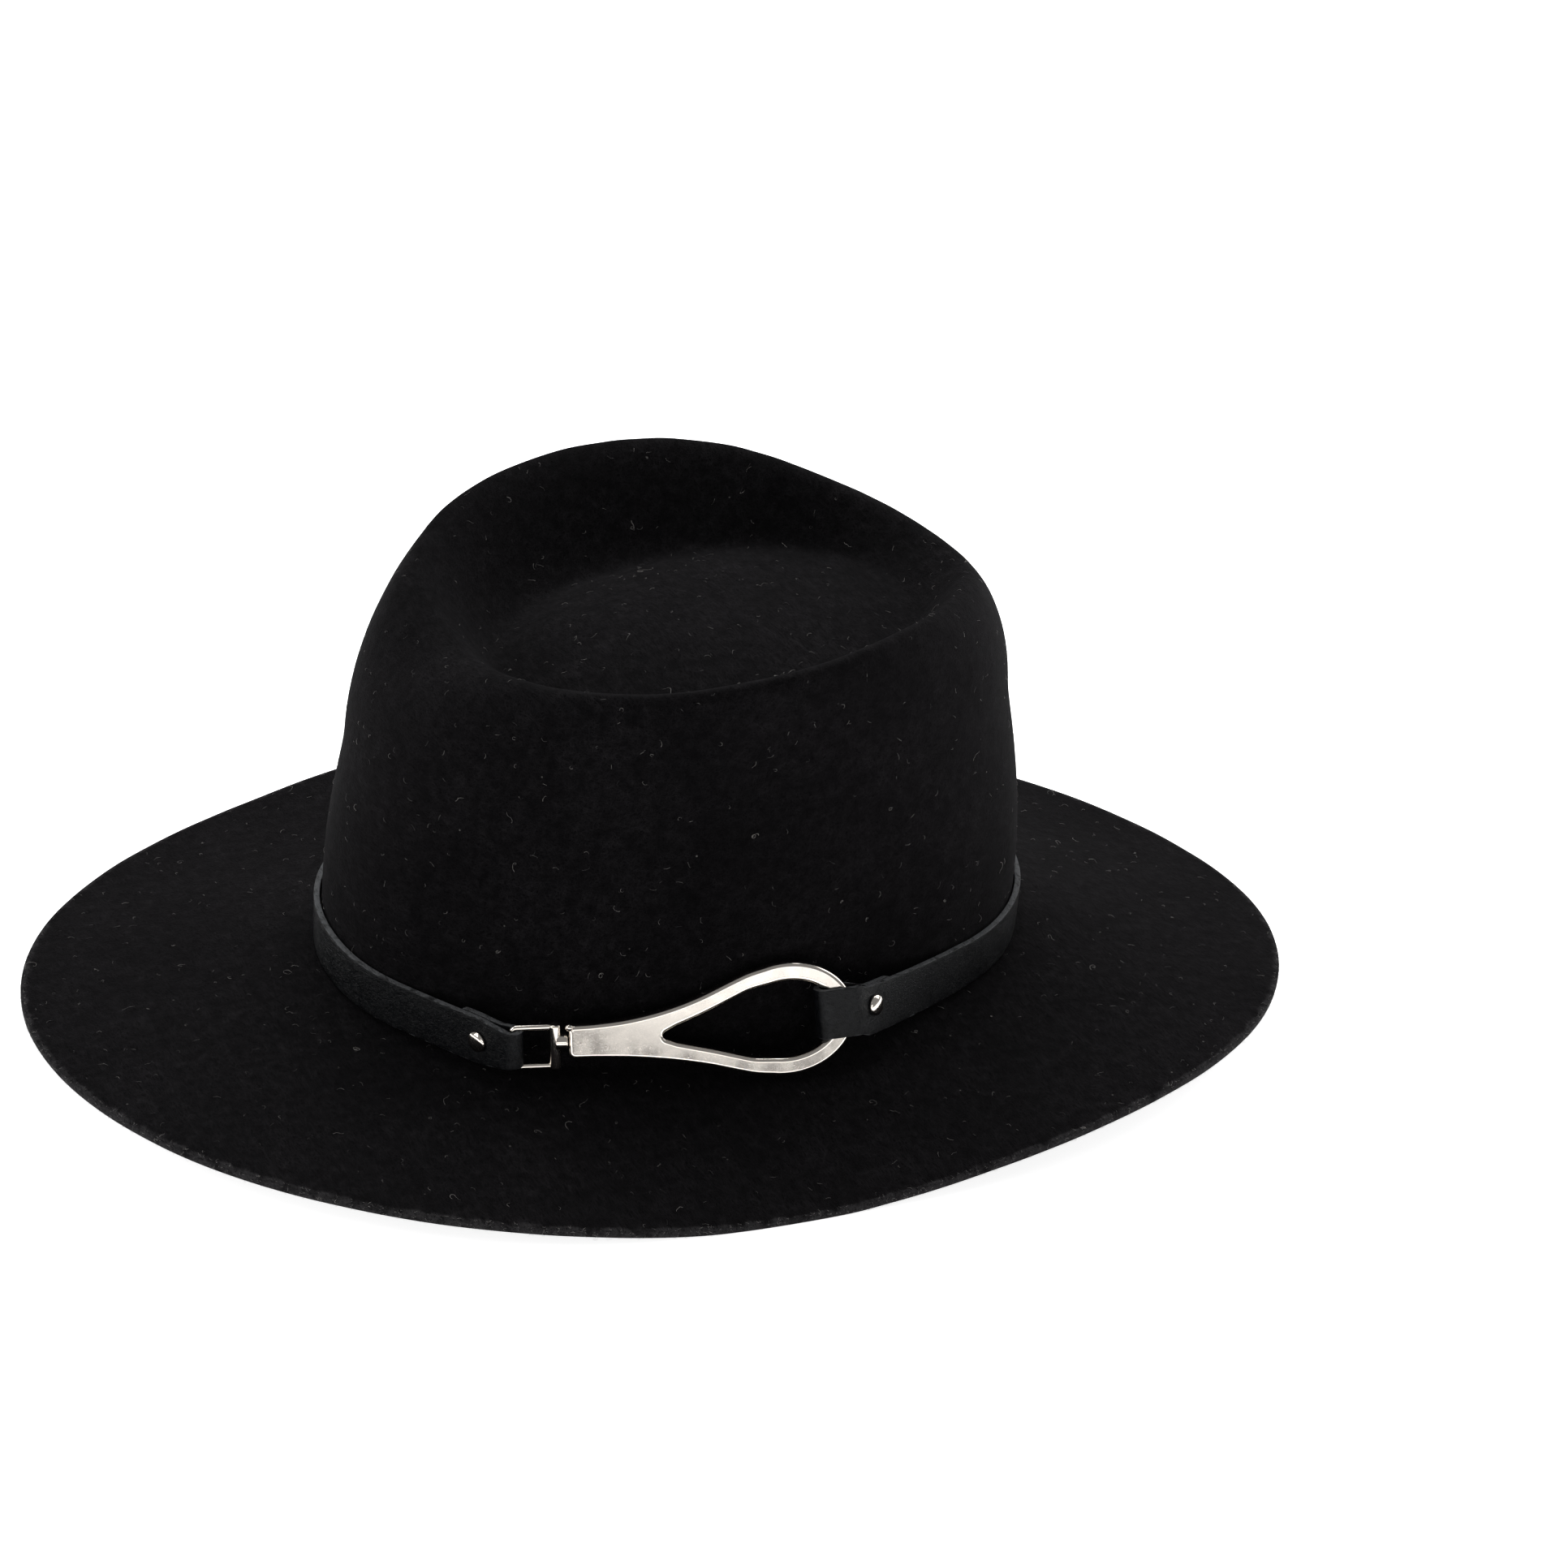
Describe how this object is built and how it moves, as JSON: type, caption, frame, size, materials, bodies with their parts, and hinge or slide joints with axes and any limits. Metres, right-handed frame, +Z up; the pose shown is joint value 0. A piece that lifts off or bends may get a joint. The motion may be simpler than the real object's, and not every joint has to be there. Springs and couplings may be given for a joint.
{
  "type": "wide-brim fedora hat",
  "caption": "Wide-brim felt fedora with a teardrop crown dent, a leather strap round the crown and a swivel-hook buckle.",
  "frame": {"origin": "on the surface that the brim rests on, under the middle of the hat's outline", "axes": "+X towards the hat's front, the narrow end of the crown's dent; +Z up; the buckle is on the -Y side"},
  "size_m": [0.381, 0.2964, 0.1412],
  "materials": {
    "felt": "matt black wool felt with a short nap and a raw cut edge",
    "leather": "black grained leather, satin, with raw cut edges",
    "nickel": "polished warm nickel plate"
  },
  "bodies": {
    "root": {"felt_body": "felt", "strap": "leather", "hook_body": "nickel", "swivel_eye": "nickel", "rivet_left": "nickel", "rivet_right": "nickel"}
  },
  "joints": []
}
